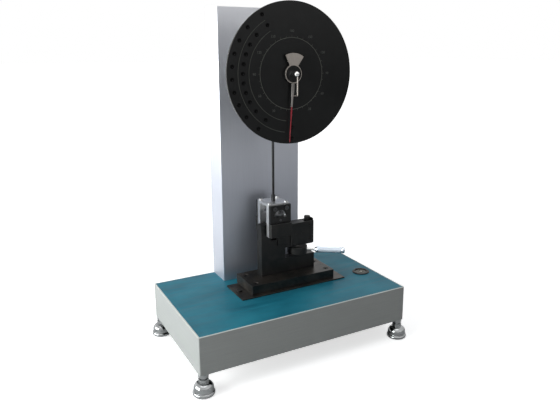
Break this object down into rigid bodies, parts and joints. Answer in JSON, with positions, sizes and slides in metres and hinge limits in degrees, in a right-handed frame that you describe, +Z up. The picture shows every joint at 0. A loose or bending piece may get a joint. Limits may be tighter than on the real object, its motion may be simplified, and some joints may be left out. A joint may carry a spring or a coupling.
{
  "type": "izod impact tester",
  "caption": "Pendulum impact tester on a levelled base: a release latch holds the raised hammer, a dial pointer shows the swing and a cam vise grips the test bar.",
  "frame": {"origin": "on the floor under the middle of the base, between the four feet", "axes": "+X runs right along the front of the base, +Y to the back where the column stands, +Z up; the dial faces -Y"},
  "size_m": [0.551, 0.343, 0.7925],
  "materials": {
    "grey_enamel": "fine grained enamel",
    "teal_enamel": "teal enamel",
    "white_enamel": "smooth enamel",
    "brushed_sheet": "brushed along its height",
    "dark_steel": "primer",
    "black_steel": "blackened",
    "black_metal": "black",
    "black_aluminium": "black anodised",
    "bright_steel": "ground",
    "aluminium": "milled",
    "grip_aluminium": "turned",
    "foot_chrome": "bright plated",
    "level_glass": "clear over a green liquid",
    "needle_red": "red toward the tip"
  },
  "bodies": {
    "frame": {"base_frame": "grey_enamel", "top_panel": "teal_enamel", "bottom_cover": "dark_steel", "foot_locknuts": "foot_chrome", "level_case": "black_metal", "level_glass": "level_glass", "column_cover": "brushed_sheet", "column_back_cover": "white_enamel", "sheet_screws": "bright_steel", "mast": "dark_steel", "mast_bolts": "bright_steel", "bearing_housing": "bright_steel", "bearing_outer_rings": "bright_steel", "housing_screws": "black_steel", "dial_pillars": "bright_steel", "dial_bracket": "aluminium", "dial_screws": "bright_steel", "dial_plate": "black_aluminium", "dial_bush": "aluminium", "bush_cap": "black_metal", "vise_sole_plate": "black_steel", "vise_bed_plate": "black_steel", "vise_screws": "black_steel", "vise_body": "black_steel", "fixed_jaw_plate": "black_steel", "jaw_cover": "black_steel", "jaw_end_plate": "black_steel", "locating_post": "black_steel", "latch_post": "bright_steel"},
    "pendulum": {"shaft": "bright_steel", "bearing_inner_rings": "bright_steel", "pendulum_hub": "aluminium", "pendulum_screws": "bright_steel", "pendulum_rod": "black_steel", "rod_nuts": "black_steel", "hammer_top": "aluminium", "hammer_leg_front": "aluminium", "hammer_leg_rear": "aluminium", "hammer_plates": "black_aluminium", "hammer_weights": "black_steel", "striker": "bright_steel", "driver_ball": "bright_steel", "driver_finger": "bright_steel"},
    "pointer": {"pointer_ring": "aluminium", "pointer_needle": "needle_red"},
    "clamp_lever": {"cam_spindle": "bright_steel", "cam_hub": "black_steel", "lever_rod": "bright_steel", "lever_grip": "grip_aluminium"},
    "moving_jaw": {"moving_jaw": "black_steel", "moving_jaw_plate": "black_steel"},
    "latch_hook": {"latch_hook": "bright_steel"},
    "foot_front_left": {"foot_pad_front_left": "foot_chrome", "foot_stem_front_left": "foot_chrome"},
    "foot_front_right": {"foot_pad_front_right": "foot_chrome", "foot_stem_front_right": "foot_chrome"},
    "foot_rear_left": {"foot_pad_rear_left": "foot_chrome", "foot_stem_rear_left": "foot_chrome"},
    "foot_rear_right": {"foot_pad_rear_right": "foot_chrome", "foot_stem_rear_right": "foot_chrome"}
  },
  "joints": [
    {"name": "pendulum_swing", "type": "hinge", "parent": "frame", "child": "pendulum", "pos_m": [0, 0.0235, 0.642], "axis": [0, -1, 0], "range_deg": [-150, 150]},
    {"name": "pointer_turn", "type": "hinge", "parent": "frame", "child": "pointer", "pos_m": [0, -0.075, 0.642], "axis": [0, 1, 0], "range_deg": [0, 150]},
    {"name": "clamp_lever_turn", "type": "hinge", "parent": "frame", "child": "clamp_lever", "pos_m": [0.066, 0.0235, 0.2075], "axis": [0, 0, 1], "range_deg": [-80, 15]},
    {"name": "jaw_slide", "type": "slide", "parent": "frame", "child": "moving_jaw", "axis": [1, 0, 0], "range_m": [-0.00186, 0.00035]},
    {"name": "latch_turn", "type": "hinge", "parent": "frame", "child": "latch_hook", "pos_m": [0.062, 0.0395, 0.622], "axis": [0, 1, 0], "range_deg": [0, 20], "stiffness_Nm_per_rad": 0.15, "springref_deg": -29.79},
    {"name": "foot_front_left_screw", "type": "slide", "parent": "frame", "child": "foot_front_left", "axis": [0, 0, 1], "range_m": [-0.015, 0.0025]},
    {"name": "foot_front_right_screw", "type": "slide", "parent": "frame", "child": "foot_front_right", "axis": [0, 0, 1], "range_m": [-0.015, 0.0025]},
    {"name": "foot_rear_left_screw", "type": "slide", "parent": "frame", "child": "foot_rear_left", "axis": [0, 0, 1], "range_m": [-0.015, 0.0025]},
    {"name": "foot_rear_right_screw", "type": "slide", "parent": "frame", "child": "foot_rear_right", "axis": [0, 0, 1], "range_m": [-0.015, 0.0025]}
  ],
  "couplings": [
    {"joint": "clamp_lever_turn", "follows": "jaw_slide", "rad_per_m": 749.06}
  ]
}
